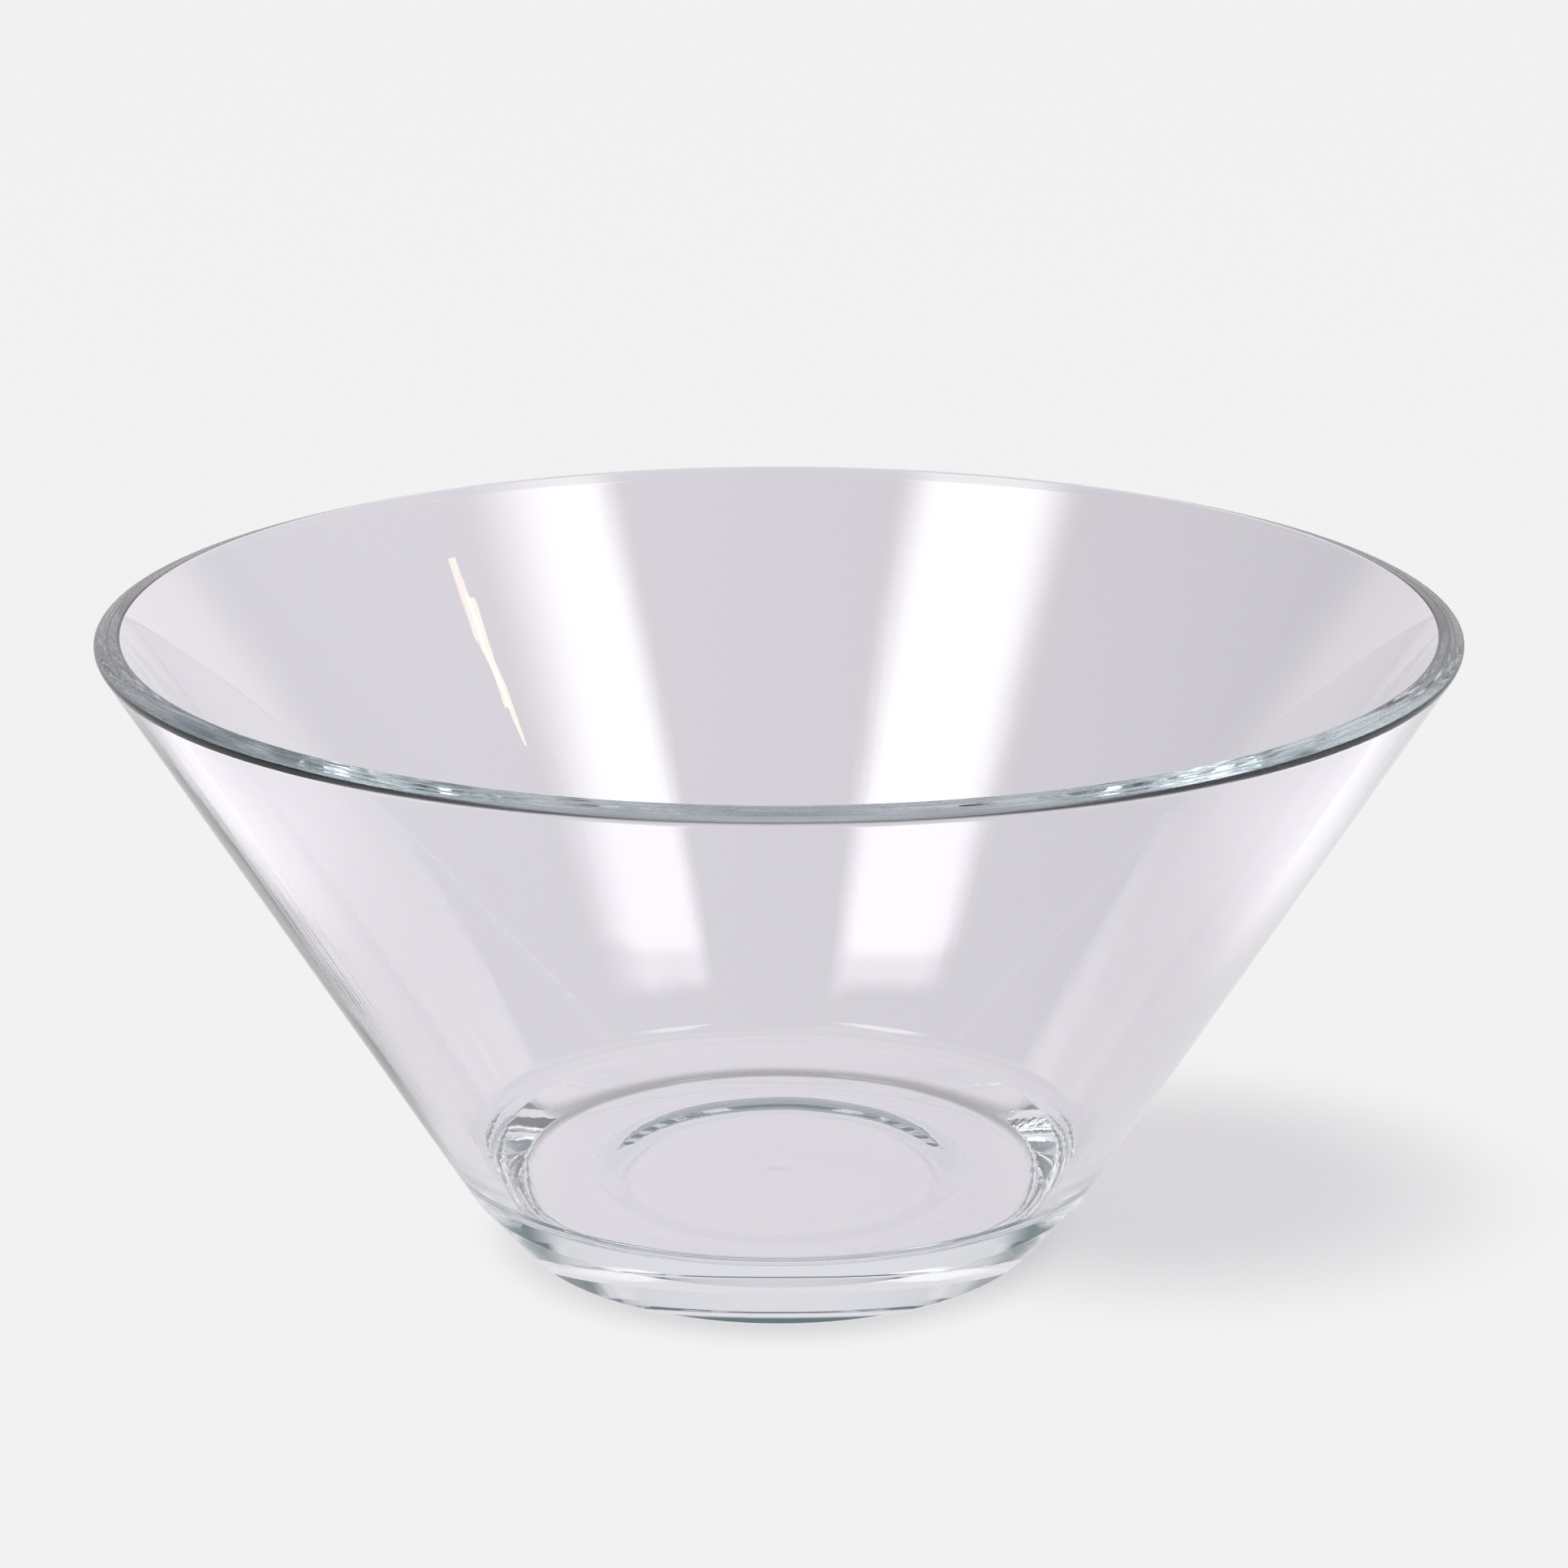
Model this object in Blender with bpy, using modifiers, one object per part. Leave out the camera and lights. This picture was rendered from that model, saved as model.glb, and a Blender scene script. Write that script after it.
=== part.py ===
"""Conical salad bowl of clear pressed glass, in metres, +Z up, standing on the table at z = 0.

The bowl is one body of glass, turned from a single half section: a flat floor with a fillet,
a straight flaring wall, a rim whose land falls outwards, and a heavy foot under a fine mould seam,
hollowed from below by a shallow, softly curved recess so that it stands on a ring.
"""
import math

import bpy
from mathutils import Matrix, Vector

# Driving dimensions. Corner radii and heights are those of the sharp section, before its rounds.
HEIGHT = 0.1216
RIM_OUTER_RADIUS = 0.12545
RIM_INNER_RADIUS = 0.1205
RIM_FALL = 0.0014
RIM_OUTER_ROUND = 0.0008
RIM_INNER_ROUND = 0.0005
WALL_FLARE = 0.607
FLOOR_HEIGHT = 0.0180
FLOOR_CORNER_RADIUS = 0.0569
FLOOR_FILLET = 0.0060
SEAM_HEIGHT = 0.0126
SEAM_LEDGE = 0.0003
FOOT_RADIUS = 0.0495
FOOT_ROUND = 0.0040
RECESS_DEPTH = 0.0021
RECESS_MOUTH_RADIUS = 0.0358
RECESS_TOP_RADIUS = 0.0288
RECESS_ROUND = 0.0170

# Fineness of the turned surface
TURN_STEPS = 96
ARC_STEP = math.radians(16)
MERGE_DISTANCE = 0.00001

# Colourless soda-lime glass with a faint blue-green cast
GLASS_COLOUR = (0.93, 0.95, 0.96, 1.0)
GLASS_ROUGHNESS = 0.02
GLASS_IOR = 1.52


def clear_scene():
    """Remove the objects that the scene starts with."""
    for scene_object in list(bpy.data.objects):
        bpy.data.objects.remove(scene_object, do_unlink=True)


def glass_material():
    """The one material: clear, smooth, non-metallic glass."""
    material = bpy.data.materials.new("clear_glass")
    material.use_nodes = True
    shader = material.node_tree.nodes["Principled BSDF"]
    shader.inputs["Base Color"].default_value = GLASS_COLOUR
    shader.inputs["Roughness"].default_value = GLASS_ROUGHNESS
    shader.inputs["Metallic"].default_value = 0.0
    shader.inputs["IOR"].default_value = GLASS_IOR
    shader.inputs["Transmission Weight"].default_value = 1.0
    return material


def outer_wall_radius(height):
    """Radius of the straight outer wall at a height above the table."""
    rim_corner_height = HEIGHT - RIM_FALL
    return RIM_OUTER_RADIUS - WALL_FLARE * (rim_corner_height - height)


def section_corners():
    """The half section from the floor's centre, up the inside, over the rim and down to the recess.

    Each entry is a corner (radius, height) and the radius that rounds it.
    """
    seam_radius = outer_wall_radius(SEAM_HEIGHT)
    return [
        (Vector((0.0, FLOOR_HEIGHT)), 0.0),
        (Vector((FLOOR_CORNER_RADIUS, FLOOR_HEIGHT)), FLOOR_FILLET),
        (Vector((RIM_INNER_RADIUS, HEIGHT)), RIM_INNER_ROUND),
        (Vector((RIM_OUTER_RADIUS, HEIGHT - RIM_FALL)), RIM_OUTER_ROUND),
        (Vector((seam_radius, SEAM_HEIGHT)), 0.0),
        (Vector((seam_radius - SEAM_LEDGE, SEAM_HEIGHT - SEAM_LEDGE)), 0.0),
        (Vector((FOOT_RADIUS, 0.0)), FOOT_ROUND),
        (Vector((RECESS_MOUTH_RADIUS, 0.0)), RECESS_ROUND),
        (Vector((RECESS_TOP_RADIUS, RECESS_DEPTH)), RECESS_ROUND),
        (Vector((0.0, RECESS_DEPTH)), 0.0),
    ]


def rounded_corner(before, corner, after, radius):
    """Points of the arc of a radius that is tangent to both lines meeting at a corner."""
    towards_before = (before - corner).normalized()
    towards_after = (after - corner).normalized()
    half_angle = towards_before.angle(towards_after) / 2
    centre = corner + (towards_before + towards_after).normalized() * radius / math.sin(half_angle)
    start = corner + towards_before * radius / math.tan(half_angle) - centre
    end = corner + towards_after * radius / math.tan(half_angle) - centre
    sweep = start.angle_signed(end)
    steps = math.ceil(abs(sweep) / ARC_STEP)
    return [centre + Matrix.Rotation(-sweep * step / steps, 2) @ start for step in range(steps + 1)]


def section_points():
    """The half section with its corners rounded."""
    corners = section_corners()
    points = []
    for index, (corner, radius) in enumerate(corners):
        if radius == 0.0:
            points.append(corner)
        else:
            before = corners[index - 1][0]
            after = corners[index + 1][0]
            points.extend(rounded_corner(before, corner, after, radius))
    return points


def turned_body(name, points, material, collection):
    """Turn an open half section about Z into a closed body, shaded smooth."""
    mesh = bpy.data.meshes.new(name)
    vertices = [(radius, 0.0, height) for radius, height in points]
    edges = [(index, index + 1) for index in range(len(points) - 1)]
    mesh.from_pydata(vertices, edges, [])
    mesh.materials.append(material)
    body = bpy.data.objects.new(name, mesh)
    collection.objects.link(body)

    turn = body.modifiers.new("turn", "SCREW")
    turn.axis = "Z"
    turn.angle = math.tau
    turn.steps = TURN_STEPS
    turn.render_steps = TURN_STEPS
    turn.use_smooth_shade = True
    turn.use_merge_vertices = True
    turn.merge_threshold = MERGE_DISTANCE

    shading = body.modifiers.new("straight_wall_shading", "WEIGHTED_NORMAL")
    shading.mode = "FACE_AREA"
    return body


def build_salad_bowl():
    """Build the bowl in a collection of its own."""
    clear_scene()
    collection = bpy.data.collections.new("salad_bowl")
    bpy.context.scene.collection.children.link(collection)
    turned_body("glass_bowl", section_points(), glass_material(), collection)


build_salad_bowl()
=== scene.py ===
# %% [markdown]
# # A pressed glass salad bowl
#
# The real object is one body of clear glass: a flat floor, a straight flaring wall, a rim whose land falls
# outwards, and a heavy foot under a fine mould seam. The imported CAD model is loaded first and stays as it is.
# Everything made below is in metres, in the same frame, with the bowl's axis on Z and the table at z = 0.

import math

import bmesh
import bpy
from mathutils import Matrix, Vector


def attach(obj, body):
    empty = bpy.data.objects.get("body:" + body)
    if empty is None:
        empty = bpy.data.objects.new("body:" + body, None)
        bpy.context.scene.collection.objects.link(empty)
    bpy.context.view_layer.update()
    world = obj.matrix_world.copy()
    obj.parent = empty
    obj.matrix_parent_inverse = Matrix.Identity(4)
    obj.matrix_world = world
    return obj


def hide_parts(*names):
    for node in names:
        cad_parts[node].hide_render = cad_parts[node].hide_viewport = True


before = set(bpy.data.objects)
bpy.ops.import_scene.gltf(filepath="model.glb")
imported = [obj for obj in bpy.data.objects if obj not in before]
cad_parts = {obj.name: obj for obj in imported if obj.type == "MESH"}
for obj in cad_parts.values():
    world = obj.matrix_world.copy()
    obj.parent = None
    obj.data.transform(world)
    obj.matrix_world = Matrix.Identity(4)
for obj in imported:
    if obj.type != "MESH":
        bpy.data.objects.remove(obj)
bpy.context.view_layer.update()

# %% [markdown]
# ## The camera
#
# The photograph is square and looks down on the bowl by 17 degrees. A camera could be set by eye, but a round
# bowl gives better evidence: its rim, seam and foot are circles, so the shape of their ellipses fixes the
# height, the distance and the lens together. These values come from that fit, with no roll and no shift.

# %% Add the camera
CAMERA_PLACE = (0.00092, -0.7531, 0.3184)
LOOKING_DOWN = 17.0
LENS_MM = 96.8
SENSOR_MM = 36.0
bpy.ops.object.camera_add(location=CAMERA_PLACE, rotation=(math.radians(90.0 - LOOKING_DOWN), 0.0, 0.0))
camera = bpy.context.object
camera.name = "photo_camera"
camera.data.lens = LENS_MM
camera.data.sensor_width = SENSOR_MM
bpy.context.scene.camera = camera
print("camera height above the table:", camera.location.z)

# %% [markdown]
# ## The half section of the bowl
#
# A bowl that is turned about one axis is fully described by half of its section. Sculpting or lathing a stack
# of rings would also give the shape, but glass bends light by its exact section, so the section is drawn first
# with sharp corners and only then rounded. It starts at the centre of the floor, goes up the inside, over the
# rim, down the outside, past the small ledge of the mould seam, under the foot and into the shallow recess.
# One vertex is left of a new plane, and extruding it from corner to corner draws the line, as by hand.

# %% Name the dimensions of the section
HEIGHT = 0.1216
RIM_INNER_RADIUS = 0.1205
RIM_INNER_ROUND = 0.0006
RIM_CROWN = (0.1230, 0.12114)
RIM_CROWN_ROUND = 0.0200
RIM_OUTER_RADIUS = 0.12545
RIM_OUTER_HEIGHT = 0.1202
RIM_OUTER_ROUND = 0.0012
WALL_FLARE = 0.607
FLOOR_HEIGHT = 0.0180
FLOOR_RADIUS = 0.0569
FLOOR_FILLET = 0.0060
SEAM_HEIGHT = 0.0126
SEAM_RADIUS = RIM_OUTER_RADIUS - WALL_FLARE * (RIM_OUTER_HEIGHT - SEAM_HEIGHT)
SEAM_LEDGE = 0.0003
SEAM_ROUND = 0.00012
FOOT_RADIUS = 0.0495
FOOT_ROUND = 0.0040
RECESS_DEPTH = 0.0021
RECESS_MOUTH_RADIUS = 0.0358
RECESS_TOP_RADIUS = 0.0288
RECESS_ROUND = 0.0170
print("the mould seam is", round(2000 * SEAM_RADIUS, 1), "mm across")

# %% List the corners as radius and height, each with the radius that rounds it
SECTION = [
    ((0.0, FLOOR_HEIGHT), 0.0),
    ((FLOOR_RADIUS, FLOOR_HEIGHT), FLOOR_FILLET),
    ((RIM_INNER_RADIUS, HEIGHT), RIM_INNER_ROUND),
    (RIM_CROWN, RIM_CROWN_ROUND),
    ((RIM_OUTER_RADIUS, RIM_OUTER_HEIGHT), RIM_OUTER_ROUND),
    ((SEAM_RADIUS, SEAM_HEIGHT), SEAM_ROUND),
    ((SEAM_RADIUS - SEAM_LEDGE, SEAM_HEIGHT - SEAM_LEDGE), SEAM_ROUND),
    ((FOOT_RADIUS, 0.0), FOOT_ROUND),
    ((RECESS_MOUTH_RADIUS, 0.0), RECESS_ROUND),
    ((RECESS_TOP_RADIUS, RECESS_DEPTH), RECESS_ROUND),
    ((0.0, RECESS_DEPTH), 0.0),
]
print("corners in the half section:", len(SECTION))

# %% Draw the sharp section by extruding one vertex
def in_section(corner):
    """A section corner (radius, height) as a place in the plane y = 0."""
    return Vector((corner[0], 0.0, corner[1]))


bpy.ops.object.select_all(action="DESELECT")
bpy.ops.mesh.primitive_plane_add(size=0.01, location=(0.0, 0.0, 0.0))
bowl = bpy.context.object
bowl.name = "glass_salad_bowl"
bpy.ops.object.mode_set(mode="EDIT")
bpy.ops.mesh.merge(type="CENTER")
bpy.ops.transform.translate(value=in_section(SECTION[0][0]))
for (start, _), (end, _) in zip(SECTION, SECTION[1:]):
    step = in_section(end) - in_section(start)
    bpy.ops.mesh.extrude_region_move(TRANSFORM_OT_translate={"value": step})
print("vertices in the sharp section:", len(bmesh.from_edit_mesh(bowl.data).verts))

# %% [markdown]
# ## Rounding the corners
#
# No edge of pressed and fire-polished glass is sharp, and each round has its own size: a wide fillet where the
# wall meets the floor, about half a millimetre at the lip, a slight crown on the rim's land, a tiny round at the
# mould seam, and very soft ones in the recess under the foot. A vertex bevel turns each corner of the line into
# an arc. Its offset is the distance from the corner to where the arc touches the line, so it is worked out from
# the radius and the corner's angle.

# %% Functions that pick a corner and divide its arc
LONGEST_CHORD = 0.00025
LARGEST_STEP = math.radians(6)
FEWEST_STEPS = 4


def select_corner(corner):
    """Select only the section's vertex that is nearest to a corner."""
    section = bmesh.from_edit_mesh(bowl.data)
    nearest = min(section.verts, key=lambda vertex: (vertex.co - in_section(corner)).length)
    bpy.ops.mesh.select_all(action="DESELECT")
    nearest.select = True
    bmesh.update_edit_mesh(bowl.data)


def arc_steps(radius, turn):
    """Segments that keep an arc's chords short and its steps small."""
    return max(FEWEST_STEPS, math.ceil(radius * turn / LONGEST_CHORD), math.ceil(turn / LARGEST_STEP))


# %% Bevel each corner of the section to its radius
for before, (corner, radius), after in zip(SECTION, SECTION[1:], SECTION[2:]):
    to_before = in_section(before[0]) - in_section(corner)
    to_after = in_section(after[0]) - in_section(corner)
    turn = math.pi - to_before.angle(to_after)
    select_corner(corner)
    bpy.ops.mesh.bevel(
        offset=radius * math.tan(turn / 2), segments=arc_steps(radius, turn), affect="VERTICES"
    )
print("vertices in the rounded section:", len(bmesh.from_edit_mesh(bowl.data).verts))

# %% [markdown]
# ## Turning the section into a bowl
#
# The real bowl is round because its mould was turned, so the section is spun once about Z. A screw modifier
# would do the same, but spin is one operator and leaves a plain mesh. Both ends of the section lie on the axis,
# so every copy meets there: merging by distance closes the two poles and the seam of the turn. Then the faces
# are made to point outwards, because glass needs to know which side is inside.

# %% Spin, close the poles and point the faces outwards
TURN_STEPS = 288
MERGE_DISTANCE = 0.000002
bpy.ops.mesh.select_all(action="SELECT")
bpy.ops.mesh.spin(steps=TURN_STEPS, angle=math.tau, center=(0.0, 0.0, 0.0), axis=(0.0, 0.0, 1.0))
bpy.ops.mesh.select_all(action="SELECT")
bpy.ops.mesh.remove_doubles(threshold=MERGE_DISTANCE)
bpy.ops.mesh.normals_make_consistent(inside=False)
bpy.ops.object.mode_set(mode="OBJECT")
turned = bmesh.new()
turned.from_mesh(bowl.data)
print("faces:", len(turned.faces), "open edges:", sum(not edge.is_manifold for edge in turned.edges))
print("volume in ml:", round(1e6 * turned.calc_volume(signed=True), 1))
turned.free()

# %% [markdown]
# ## Smooth shading that keeps the straight wall straight
#
# Plain smooth shading averages the normals of neighbouring faces, so a flat floor would seem to curve near its
# fillet, and a glass floor would bend the view there. A Weighted Normal modifier gives the large faces the say:
# the wall and the floor stay flat up to their edge, and all the turning happens in the small faces of the rounds.

# %% Shade the bowl and let it stand for the CAD node
bpy.ops.object.shade_smooth()
bpy.ops.object.modifier_add(type="WEIGHTED_NORMAL")
bpy.ops.object.modifier_apply(modifier=bowl.modifiers[-1].name)
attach(bowl, "root")
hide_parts("glass_bowl")
print("bowl size in mm:", [round(1000 * value, 2) for value in bowl.dimensions])

# %% [markdown]
# ## Short words for the node trees
#
# Every look below is a tree of nodes, and in the shader editor one would add a node, type its values and drag
# its links. A few small functions do the same: they add a node, fill its inputs, calculate with a Math node, map
# a value smoothly from one range to another, and blend two numbers or colours. They keep the cells that follow
# short enough to read.

# %% Functions that add a node and fill its inputs
def add_node(tree, kind, **values):
    """Add a node and set its plain properties and its inputs by name."""
    node = tree.nodes.new(kind)
    for name, value in values.items():
        if hasattr(node, name):
            setattr(node, name, value)
        else:
            node.inputs[name.replace("_", " ")].default_value = value
    return node


def fill(tree, sockets, values):
    """Go through the sockets in order: link another socket, or write a plain value."""
    for socket, value in zip(sockets, values):
        if isinstance(value, bpy.types.NodeSocket):
            tree.links.new(value, socket)
        else:
            socket.default_value = value


def feed(tree, node, *values):
    """Fill a node's first inputs and hand on its first output."""
    fill(tree, node.inputs, values)
    return node.outputs[0]


# %% Functions that calculate, map and blend
def calculate(tree, operation, *values):
    """A Math node on sockets or numbers."""
    return feed(tree, add_node(tree, "ShaderNodeMath", operation=operation), *values)


def smooth_range(tree, value, start, end, low=0.0, high=1.0):
    """Map a value from the range start to end smoothly to the range low to high."""
    node = add_node(tree, "ShaderNodeMapRange", interpolation_type="SMOOTHSTEP")
    return feed(tree, node, value, start, end, low, high)


def blend(tree, share, first, second):
    """Mix two numbers by a share from 0 to 1."""
    node = add_node(tree, "ShaderNodeMix", data_type="FLOAT")
    fill(tree, [node.inputs[0], node.inputs[2], node.inputs[3]], [share, first, second])
    return node.outputs[0]


def blend_colour(tree, share, first, second):
    """Mix two colours by a share from 0 to 1."""
    node = add_node(tree, "ShaderNodeMix", data_type="RGBA")
    fill(tree, [node.inputs[0], node.inputs[6], node.inputs[7]], [share, first, second])
    return node.outputs[2]


# %% Function that starts a material
def empty_material(name):
    """A new material with an empty node tree."""
    material = bpy.data.materials.new(name)
    material.use_nodes = True
    material.node_tree.nodes.clear()
    return material


# %% [markdown]
# ## The waves that the mould leaves in the glass
#
# Pressed glass is never optically true. The reflections in the wall have wavy edges and run in fine lines up the
# slope, where hot glass was drawn along the mould. Modelled in the mesh they would need millions of faces, so
# they are a height for a Bump node: broad noise in space, and finer noise on the direction from the axis, which
# closes on itself all the way round. The heights are a few hundredths of a millimetre.

# %% Build the height of the waves in the wall
WAVE_HEIGHT = 0.00005
DRAW_SHARE = 0.30
DRAW_STRETCH = (0.0, 0.0, 1.6)
glass = empty_material("clear_pressed_glass")
tree = glass.node_tree
place = add_node(tree, "ShaderNodeTexCoord").outputs["Object"]
flat_place = feed(tree, add_node(tree, "ShaderNodeVectorMath", operation="MULTIPLY"), place, (1.0, 1.0, 0.0))
direction = feed(tree, add_node(tree, "ShaderNodeVectorMath", operation="NORMALIZE"), flat_place)

broad_waves = add_node(tree, "ShaderNodeTexNoise", Scale=38.0, Detail=1.0, Roughness=0.4)
tree.links.new(place, broad_waves.inputs["Vector"])
up_the_slope = add_node(tree, "ShaderNodeVectorMath", operation="MULTIPLY_ADD")
draw_place = feed(tree, up_the_slope, place, DRAW_STRETCH, direction)
draw_lines = add_node(tree, "ShaderNodeTexNoise", Scale=14.0, Detail=2.0, Roughness=0.5)
tree.links.new(draw_place, draw_lines.inputs["Vector"])
wave_height = calculate(tree, "MULTIPLY_ADD", draw_lines.outputs["Fac"], DRAW_SHARE, broad_waves.outputs["Fac"])
print("mould waves up to", round(1e6 * WAVE_HEIGHT * (1.0 + DRAW_SHARE)), "thousandths of a millimetre high")

# %% [markdown]
# ## Fine lines round the rim
#
# The land of the rim was finished on a turning bowl, and in the photograph fine lines run along it. They are
# noise again, squeezed across the rim so that it changes over about 0.6 mm of radius and hardly at all
# round the bowl. A smooth mask keeps these lines on the land: it starts just outside the inner wall, whose
# radius grows evenly with the height Z, and it needs a height near the top.

# %% Build the lines round the rim
ACROSS_RIM = 130.0
ALONG_RIM = (0.06, 0.06, 0.0)
radius = add_node(tree, "ShaderNodeVectorMath", operation="LENGTH")
tree.links.new(flat_place, radius.inputs[0])
ring_axis = add_node(tree, "ShaderNodeCombineXYZ")
tree.links.new(calculate(tree, "MULTIPLY", radius.outputs["Value"], ACROSS_RIM), ring_axis.inputs["Z"])
round_rim = add_node(tree, "ShaderNodeVectorMath", operation="MULTIPLY_ADD")
ring_place = feed(tree, round_rim, direction, ALONG_RIM, ring_axis.outputs["Vector"])
ring_lines = add_node(tree, "ShaderNodeTexNoise", Scale=12.0, Detail=1.0, Roughness=0.5)
tree.links.new(ring_place, ring_lines.inputs["Vector"])
print("a rim line is about", round(1000 / (ACROSS_RIM * ring_lines.inputs["Scale"].default_value), 2), "mm wide")

# %% Keep the lines on the rim and make the bump
RING_SHARE = 0.50
LIP = (0.0001, 0.0007)
RIM_HEIGHTS = (0.1186, 0.1200)
INNER_SLOPE = (RIM_INNER_RADIUS - FLOOR_RADIUS) / (HEIGHT - FLOOR_HEIGHT)
INNER_FOOT = FLOOR_RADIUS - INNER_SLOPE * FLOOR_HEIGHT
axes = add_node(tree, "ShaderNodeSeparateXYZ")
tree.links.new(place, axes.inputs["Vector"])
past_wall = calculate(tree, "MULTIPLY_ADD", axes.outputs["Z"], -INNER_SLOPE, radius.outputs["Value"])
past_lip = smooth_range(tree, past_wall, INNER_FOOT + LIP[0], INNER_FOOT + LIP[1])
on_rim = calculate(tree, "MULTIPLY", past_lip, smooth_range(tree, axes.outputs["Z"], *RIM_HEIGHTS))
ring_height = calculate(tree, "MULTIPLY", ring_lines.outputs["Fac"], RING_SHARE)
waves = add_node(tree, "ShaderNodeBump", Strength=1.0, Distance=WAVE_HEIGHT)
tree.links.new(blend(tree, on_rim, wave_height, ring_height), waves.inputs["Height"])
print("rim lines up to", round(1e6 * WAVE_HEIGHT * RING_SHARE), "thousandths of a millimetre high")

# %% [markdown]
# ## Clear glass
#
# The glass is a Principled shader with full transmission and the refraction of soda-lime glass. Its faint
# blue-green is only seen where light travels far inside it, along the rim and round the foot, so it isn't a
# surface colour but a Volume Absorption: over centimetres red is lost first, and the 4 mm wall stays clear. The
# surface is fire-polished, with a slight haze here and there from handling. On the rim, duller rings alternate
# with polished ones, along the same fine lines.

# %% Make the surface's haze and the dull rings on the rim
RIM_ROUGHNESS = 0.36
DULL_RANGE = (0.38, 0.62)
HAZE_ROUGHNESS = 0.03
HAZE_RANGE = (0.45, 0.75)
haze = add_node(tree, "ShaderNodeTexNoise", Scale=55.0, Detail=3.0, Roughness=0.6)
tree.links.new(place, haze.inputs["Vector"])
haze_roughness = smooth_range(tree, haze.outputs["Fac"], *HAZE_RANGE, 0.0, HAZE_ROUGHNESS)
dull_rings = smooth_range(tree, ring_lines.outputs["Fac"], *DULL_RANGE, 0.0, RIM_ROUGHNESS)
roughness = calculate(tree, "MULTIPLY_ADD", on_rim, dull_rings, haze_roughness)
print("roughness of the glass up to", HAZE_ROUGHNESS, "and on the rim up to", RIM_ROUGHNESS)

# %% Build the surface and the body of the glass
GLASS_IOR = 1.52
GLASS_TINT = (0.995, 0.99, 1.0, 1.0)
BODY_COLOUR = (0.20, 0.40, 0.46, 1.0)
BODY_DENSITY = 2.0
clear = add_node(tree, "ShaderNodeBsdfPrincipled", Metallic=0.0, IOR=GLASS_IOR)
clear.inputs["Base Color"].default_value = GLASS_TINT
clear.inputs["Transmission Weight"].default_value = 1.0
tree.links.new(roughness, clear.inputs["Roughness"])
tree.links.new(waves.outputs["Normal"], clear.inputs["Normal"])
absorption = add_node(tree, "ShaderNodeVolumeAbsorption", Density=BODY_DENSITY)
absorption.inputs["Color"].default_value = BODY_COLOUR
kept = [round(math.exp(-0.1 * BODY_DENSITY * (1.0 - colour)), 2) for colour in BODY_COLOUR[:3]]
print("red, green and blue left after 10 cm of glass:", kept)

# %% [markdown]
# ## Pale shadows
#
# A path tracer finds the light that glass focuses on the table only slowly, and without it the shadow would be
# black. Shadows of clear glass are pale, so shadow rays, and the light that bounces off the table, pass through
# the bowl as through a thin grey film. A Light Path node tells those rays from the ones that look at the glass.

# %% Let soft light through the glass and put it on the bowl
FILM_COLOUR = (0.86, 0.86, 0.87, 1.0)
rays = add_node(tree, "ShaderNodeLightPath")
soft_ray = calculate(tree, "MAXIMUM", rays.outputs["Is Shadow Ray"], rays.outputs["Is Diffuse Ray"])
shadow_film = add_node(tree, "ShaderNodeBsdfTransparent")
shadow_film.inputs["Color"].default_value = FILM_COLOUR
either = add_node(tree, "ShaderNodeMixShader")
surface = feed(tree, either, soft_ray, clear.outputs["BSDF"], shadow_film.outputs["BSDF"])
output = add_node(tree, "ShaderNodeOutputMaterial")
tree.links.new(surface, output.inputs["Surface"])
tree.links.new(absorption.outputs["Volume"], output.inputs["Volume"])
bowl.data.materials.clear()
bowl.data.materials.append(glass)
print("glass nodes:", len(tree.nodes))

# %% [markdown]
# ## The table
#
# The bowl stands on pale paper. Round the bowl the paper is nearly white, while the paper seen through the glass
# keeps its own slightly grey tone, and the bowl's shadow stays. So the paper is a diffuse surface that catches
# the real shadow, and a share of it is replaced by an even glow. Where that share is small the paper is darker,
# so the share map is a painted shadow: painted contact shade close to the foot and a painted soft shadow to the
# right, over the real shadow of the diffuse part. Further out the share grows to nearly all of it.

# %% Lay the paper just under the bowl
PAPER_SIZE = 12.0
PAPER_GAP = 0.0003
bpy.ops.object.select_all(action="DESELECT")
bpy.ops.mesh.primitive_plane_add(size=PAPER_SIZE, location=(0.0, 0.0, 0.0))
table = bpy.context.object
table.name = "paper_table"
bpy.ops.object.mode_set(mode="EDIT")
bpy.ops.mesh.select_all(action="SELECT")
bpy.ops.transform.translate(value=(0.0, 0.0, -PAPER_GAP))
bpy.ops.object.mode_set(mode="OBJECT")
print("paper size in m:", [round(value, 2) for value in table.dimensions])

# %% Start the paper and measure distances on it
def distance(tree, place, stretch, centre):
    """Distance of a place on the table from a centre, with each axis stretched."""
    shift = [-factor * value for factor, value in zip(stretch, centre)]
    stretched = feed(tree, add_node(tree, "ShaderNodeVectorMath", operation="MULTIPLY_ADD"), place, stretch, shift)
    length = add_node(tree, "ShaderNodeVectorMath", operation="LENGTH")
    tree.links.new(stretched, length.inputs[0])
    return length.outputs["Value"]


paper = empty_material("pale_paper")
tree = paper.node_tree
place = add_node(tree, "ShaderNodeTexCoord").outputs["Object"]
axes = add_node(tree, "ShaderNodeSeparateXYZ")
tree.links.new(place, axes.inputs["Vector"])
foot_distance = distance(tree, place, (1.0, 1.0, 0.0), (0.0, 0.0, 0.0))
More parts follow.
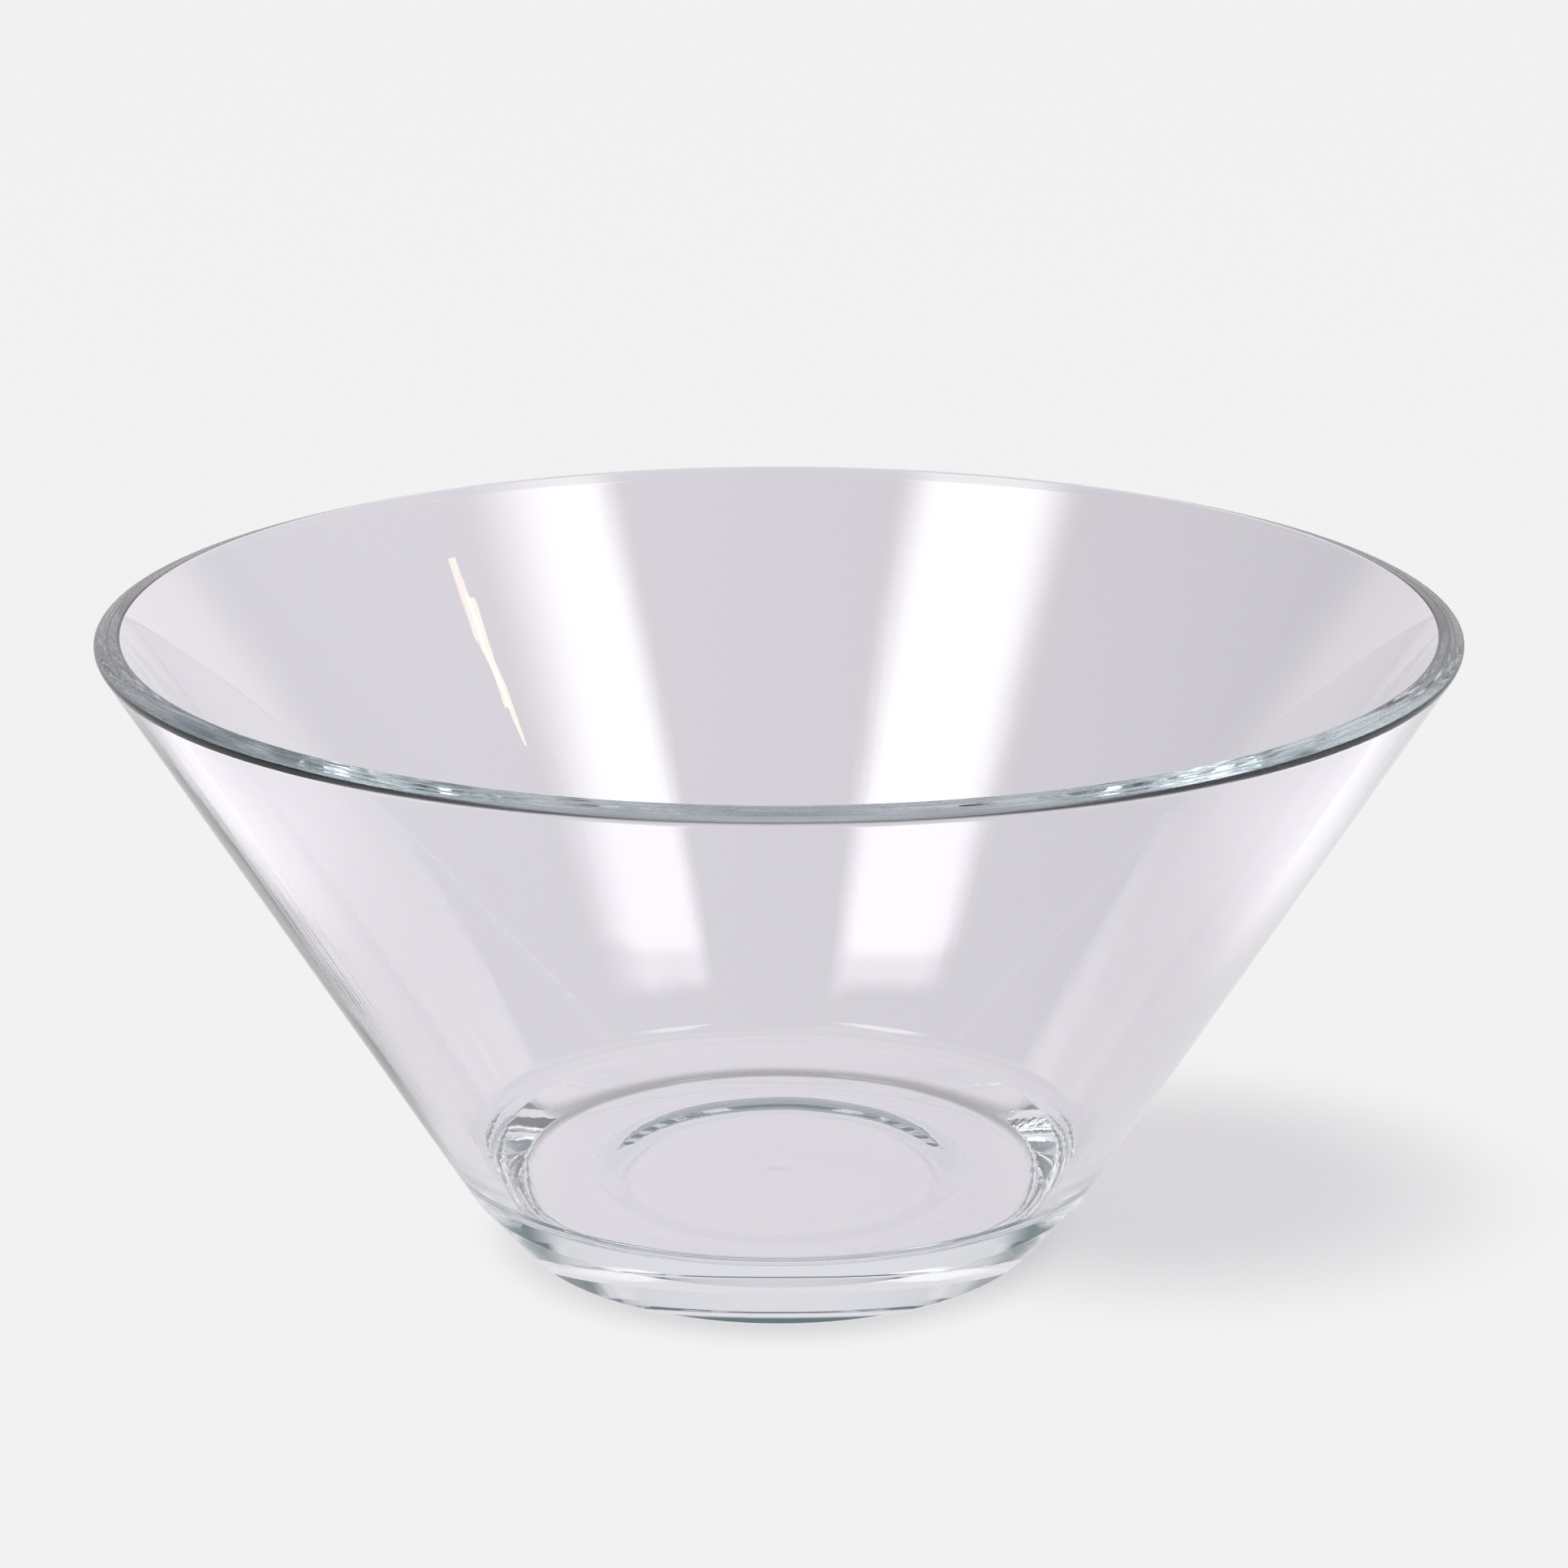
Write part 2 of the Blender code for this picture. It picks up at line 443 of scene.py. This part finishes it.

# %% Paint the contact shade and the shadow on the paper
CONTACT_SHADE_RADII = (0.046, 0.060)
CONTACT_SHADE_LEVELS = (0.60, 1.0)
SHADOW_CENTRE = (0.076, 0.020, 0.0)
SHADOW_STRETCH = (12.0, 13.5, 0.0)
SHADOW_FADE = (0.35, 1.0)
SHADOW_LEVELS = (0.52, 0.96)
# Painted shade: the glow's share falls in a ring close round the foot and in a soft patch to the right of the
# bowl.
contact_shade = smooth_range(tree, foot_distance, *CONTACT_SHADE_RADII, *CONTACT_SHADE_LEVELS)
shadow_distance = distance(tree, place, SHADOW_STRETCH, SHADOW_CENTRE)
shade = smooth_range(tree, shadow_distance, *SHADOW_FADE, *SHADOW_LEVELS)
open_share = calculate(tree, "MULTIPLY", contact_shade, shade)
print("share of the glow from", CONTACT_SHADE_LEVELS[0] * SHADOW_LEVELS[0], "to", CONTACT_SHADE_LEVELS[1] * SHADOW_LEVELS[1])

# %% [markdown]
# ## The paper behind the glass
#
# What the glass shows is mostly the paper behind it, so its tone there sets the tone of the whole bowl: a light
# grey, painted shade that is a little lighter on the left, and painted light, white beside the bowl, where the
# softboxes reach it. A Light Path node gives each kind of ray its share of the glow: camera rays the map above,
# mirror rays most of it, and rays that come through the glass a part, with the grey tone. Close round the foot,
# where it meets the paper, a thin ring is darker: a painted contact shadow.

# %% Paint the light and shade on the paper that the glass shows
PAPER_WHITE = 0.905
BEHIND_REACH = (-0.30, 0.30)
SHADE_BEHIND = (0.78, 0.64)
BESIDE_REACH = (0.11, 0.17)
NEAR_REACH = (0.28, 0.08)
BESIDE_LIGHT_LEVEL = 1.15
FOOT_SHADE_INSIDE = (0.0500, 0.0484)
FOOT_SHADE_OUTSIDE = (0.0508, 0.0545)
FOOT_SHADE_LEVEL = 0.42
rays = add_node(tree, "ShaderNodeLightPath")
through_glass = rays.outputs["Is Transmission Ray"]
# Painted light and shade: the glow is brighter beside the bowl, where the softboxes reach the paper, and a grey
# painted shade behind it grades from lighter on the left to darker on the right.
beside = smooth_range(tree, calculate(tree, "ABSOLUTE", axes.outputs["X"]), *BESIDE_REACH)
near = smooth_range(tree, axes.outputs["Y"], *NEAR_REACH)
behind = smooth_range(tree, axes.outputs["X"], *BEHIND_REACH, *SHADE_BEHIND)
painted_light_and_shade = blend(tree, calculate(tree, "MULTIPLY", beside, near), behind, BESIDE_LIGHT_LEVEL)
# Painted contact shadow: a thin darker ring of the glow round the foot.
under_foot = smooth_range(tree, foot_distance, *FOOT_SHADE_INSIDE)
past_foot = smooth_range(tree, foot_distance, *FOOT_SHADE_OUTSIDE)
painted_foot_shade = calculate(tree, "MAXIMUM", under_foot, past_foot)
through_light_and_shade = calculate(tree, "MULTIPLY", painted_light_and_shade, blend(tree, painted_foot_shade, FOOT_SHADE_LEVEL, 1.0))
brightness = blend(tree, through_glass, PAPER_WHITE, through_light_and_shade)

# %% Give camera, mirror and glass rays their share of the glow
MIRROR_SHARE = 0.70
GLASS_SHARE = 0.60
WHITE = (1.0, 1.0, 1.0, 1.0)
TONE_BEHIND = (1.015, 0.985, 1.04, 1.0)
PAPER_COLOUR = (0.945, 0.86, 0.89, 1.0)
camera_share = calculate(tree, "MULTIPLY", open_share, rays.outputs["Is Camera Ray"])
mirror_share = calculate(tree, "MULTIPLY_ADD", rays.outputs["Is Glossy Ray"], MIRROR_SHARE, camera_share)
share = calculate(tree, "MULTIPLY_ADD", through_glass, GLASS_SHARE, mirror_share)
tone = blend_colour(tree, through_glass, WHITE, TONE_BEHIND)

lit = feed(tree, add_node(tree, "ShaderNodeBsdfDiffuse"), PAPER_COLOUR)
glow = feed(tree, add_node(tree, "ShaderNodeEmission"), tone, brightness)
surface = feed(tree, add_node(tree, "ShaderNodeMixShader"), share, lit, glow)
tree.links.new(surface, add_node(tree, "ShaderNodeOutputMaterial").inputs["Surface"])
table.data.materials.append(paper)
print("paper nodes:", len(tree.nodes))

# %% [markdown]
# ## The room
#
# Glass has no colour of its own to show, so it needs something to reflect. The room is white at the height of
# the table and on the sweep behind it, and dim, with a blue-green cast, overhead and on the camera's side. The
# white parts keep the wall pale. The dim ones give the dark lines in the rim and under the floor, where light
# that was trapped in the glass leaves it upwards. The camera itself sees the room as white as the paper, so a
# low view shows hardly any horizon behind the bowl.

# %% Find the white parts of the room
LOW_REACH = (0.36, 0.20)
SWEEP_DIRECTION = (0.0, 0.77, 0.64)
SWEEP_REACH = (0.76, 0.86)
world = bpy.data.worlds.new("pale_room")
bpy.context.scene.world = world
world.use_nodes = True
tree = world.node_tree
tree.nodes.clear()
view = add_node(tree, "ShaderNodeTexCoord").outputs["Generated"]
axes = add_node(tree, "ShaderNodeSeparateXYZ")
tree.links.new(view, axes.inputs["Vector"])
low = smooth_range(tree, axes.outputs["Z"], *LOW_REACH)
facing_back = add_node(tree, "ShaderNodeVectorMath", operation="DOT_PRODUCT")
feed(tree, facing_back, view, SWEEP_DIRECTION)
sweep = smooth_range(tree, facing_back.outputs["Value"], *SWEEP_REACH)

# %% Light the room
DIM_TONE = (0.040, 0.105, 0.125, 1.0)
BRIGHT_TONE = (0.93, 0.89, 0.92, 1.0)
SEEN_TONE = (PAPER_WHITE, PAPER_WHITE, PAPER_WHITE, 1.0)
room_tone = blend_colour(tree, calculate(tree, "MAXIMUM", low, sweep), DIM_TONE, BRIGHT_TONE)
seen = add_node(tree, "ShaderNodeLightPath").outputs["Is Camera Ray"]
room = feed(tree, add_node(tree, "ShaderNodeBackground"), blend_colour(tree, seen, room_tone, SEEN_TONE))
tree.links.new(room, add_node(tree, "ShaderNodeOutputWorld").inputs["Surface"])
print("room nodes:", len(tree.nodes))

# %% [markdown]
# ## Two softboxes
#
# The two bright stripes in the far wall are softboxes that hang above, left and right of the camera. Following
# the reflected rays back from the stripes gives the plane of each box and where its light fades: slowly towards
# the outer side, faster along a slanting inner edge, and quickly at its lower end, which is slightly curved and
# so made of three straight fades. Every fade in both materials is the same effect, so it is a node group: a
# level that rises along a direction. The panels are drawn a little larger than the light that shows.

# %% Make the soft edge as a node group
soft_edge = bpy.data.node_groups.new("soft_edge", "ShaderNodeTree")
for socket, kind in (("Place", "Vector"), ("Direction", "Vector"), ("Start", "Float"), ("Full", "Float")):
    soft_edge.interface.new_socket(socket, in_out="INPUT", socket_type="NodeSocket" + kind)
soft_edge.interface.new_socket("Level", in_out="OUTPUT", socket_type="NodeSocketFloat")
given = add_node(soft_edge, "NodeGroupInput")
along = add_node(soft_edge, "ShaderNodeVectorMath", operation="DOT_PRODUCT")
feed(soft_edge, along, given.outputs["Place"], given.outputs["Direction"])
level = smooth_range(soft_edge, along.outputs["Value"], given.outputs["Start"], given.outputs["Full"])
soft_edge.links.new(level, add_node(soft_edge, "NodeGroupOutput").inputs["Level"])


# %% Function that makes a panel
def make_panel(name, corners, light):
    """A flat panel with its corners in metres and a glowing material."""
    bpy.ops.object.select_all(action="DESELECT")
    bpy.ops.mesh.primitive_circle_add(vertices=len(corners), radius=0.1, fill_type="NGON")
    panel = bpy.context.object
    panel.name = name
    bpy.ops.object.mode_set(mode="EDIT")
    for index, corner in enumerate(corners):
        mesh = bmesh.from_edit_mesh(panel.data)
        mesh.verts.ensure_lookup_table()
        bpy.ops.mesh.select_all(action="DESELECT")
        mesh.verts[index].select = True
        bmesh.update_edit_mesh(panel.data)
        bpy.ops.transform.translate(value=Vector(corner) - mesh.verts[index].co)
    bpy.ops.object.mode_set(mode="OBJECT")
    panel.data.materials.append(light)
    return panel


# %% Function that makes a panel's light
def glow_material(name, colour, strength, edges=()):
    """A glow that fades at soft edges, each a direction with the places where it starts and is full."""
    light = empty_material(name)
    tree = light.node_tree
    place = add_node(tree, "ShaderNodeTexCoord").outputs["Object"]
    level = strength
    for towards, start, full in edges:
        edge = add_node(tree, "ShaderNodeGroup", node_tree=soft_edge)
        level = calculate(tree, "MULTIPLY", level, feed(tree, edge, place, towards, start, full))
    glow = feed(tree, add_node(tree, "ShaderNodeEmission"), colour, level)
    tree.links.new(glow, add_node(tree, "ShaderNodeOutputMaterial").inputs["Surface"])
    return light


# %% Functions for places in the plane of a softbox
BOX_DISTANCE = 1.248
TO_BOX = (0.535, -0.482, 0.694)
BOX_OUTWARDS = (0.669, 0.743, 0.0)
BOX_UPWARDS = (-0.516, 0.464, 0.720)


def on_side(side, direction):
    """A direction of the right box, mirrored for the left one (side 1 right, -1 left)."""
    return Vector((side * direction[0], direction[1], direction[2]))


def in_box(side, corner):
    """A place in the plane of a box, given outwards and upwards from its middle."""
    middle = BOX_DISTANCE * on_side(side, TO_BOX)
    return middle + corner[0] * on_side(side, BOX_OUTWARDS) + corner[1] * on_side(side, BOX_UPWARDS)


# %% Function that makes a softbox
BOX_SLANT = 1.08
BOX_END = [(0.34, -0.055), (0.25, -0.0425), (0.134, -0.053)]
BOX_END_FADE = (-0.010, 0.006)


def softbox(name, side, corners, inner, outer, strength):
    """A softbox on one side, with the places where its inner and outer edges fade in."""
    outwards = on_side(side, BOX_OUTWARDS)
    upwards = on_side(side, BOX_UPWARDS)
    edges = [(outwards - BOX_SLANT * upwards, *inner), (-outwards, *outer)]
    for slope, end in BOX_END:
        edges.append((upwards + slope * outwards, end + BOX_END_FADE[0], end + BOX_END_FADE[1]))
    light = glow_material(name + "_light", WHITE, strength, edges)
    return make_panel(name, [in_box(side, corner) for corner in corners], light)


# %% Hang the softboxes
RIGHT_CORNERS = [(-0.01, 0.36), (-0.36, 0.034), (0.0, -0.055), (0.47, -0.130), (0.47, 0.36)]
LEFT_CORNERS = [(-0.18, 0.36), (-0.50, 0.069), (0.0, -0.055), (0.40, -0.120), (0.40, 0.36)]
right_box = softbox(
    "softbox_right", 1, RIGHT_CORNERS, inner=(-0.395, -0.219), outer=(-0.46, -0.06), strength=4.5
)
left_box = softbox(
    "softbox_left", -1, LEFT_CORNERS, inner=(-0.574, -0.329), outer=(-0.39, -0.17), strength=5.0
)
print("softboxes reach down to", round(min(vertex.co.z for vertex in right_box.data.vertices), 3), "m")

# %% [markdown]
# ## A small lamp and a white card
#
# Two smaller things in the room show in the glass as well. A narrow warm lamp outside the right box makes the
# thin golden streak on the left of the far wall, and a white card low on the left of the camera lights up the
# right side of the rim. Both are plain glowing panels.

# %% Add the lamp and the card
LAMP_CORNERS = [(0.508, 0.108), (0.503, 0.072), (0.465, 0.028), (0.487, 0.028), (0.533, 0.072), (0.545, 0.108)]
LAMP_COLOUR = (1.0, 0.78, 0.46, 1.0)
CARD_CORNERS = [(-0.62, -0.60, 0.20), (-0.20, -0.86, 0.20), (-0.20, -0.86, 0.56), (-0.62, -0.60, 0.56)]
lamp_light = glow_material("warm_lamp_light", LAMP_COLOUR, strength=8.0)
warm_lamp = make_panel("warm_lamp", [in_box(1, corner) for corner in LAMP_CORNERS], lamp_light)
card_light = glow_material("white_card_light", WHITE, strength=1.2)
card = make_panel("white_card", CARD_CORNERS, card_light)
print("panels in the room:", len([right_box, left_box, warm_lamp, card]))

# %% [markdown]
# ## Render settings
#
# Light inside thick glass turns back many times before it leaves, so the light paths are allowed more bounces
# than usual: with too few, the rim and the foot would render black. The view transform is Standard, so a colour
# is shown as it is written.

# %% Set the bounces and the view transform
BOUNCES = 24
scene = bpy.context.scene
scene.view_settings.view_transform = "Standard"
scene.cycles.max_bounces = BOUNCES
scene.cycles.transmission_bounces = BOUNCES
scene.cycles.glossy_bounces = BOUNCES
scene.cycles.transparent_max_bounces = BOUNCES
print("bounces of light:", scene.cycles.max_bounces)
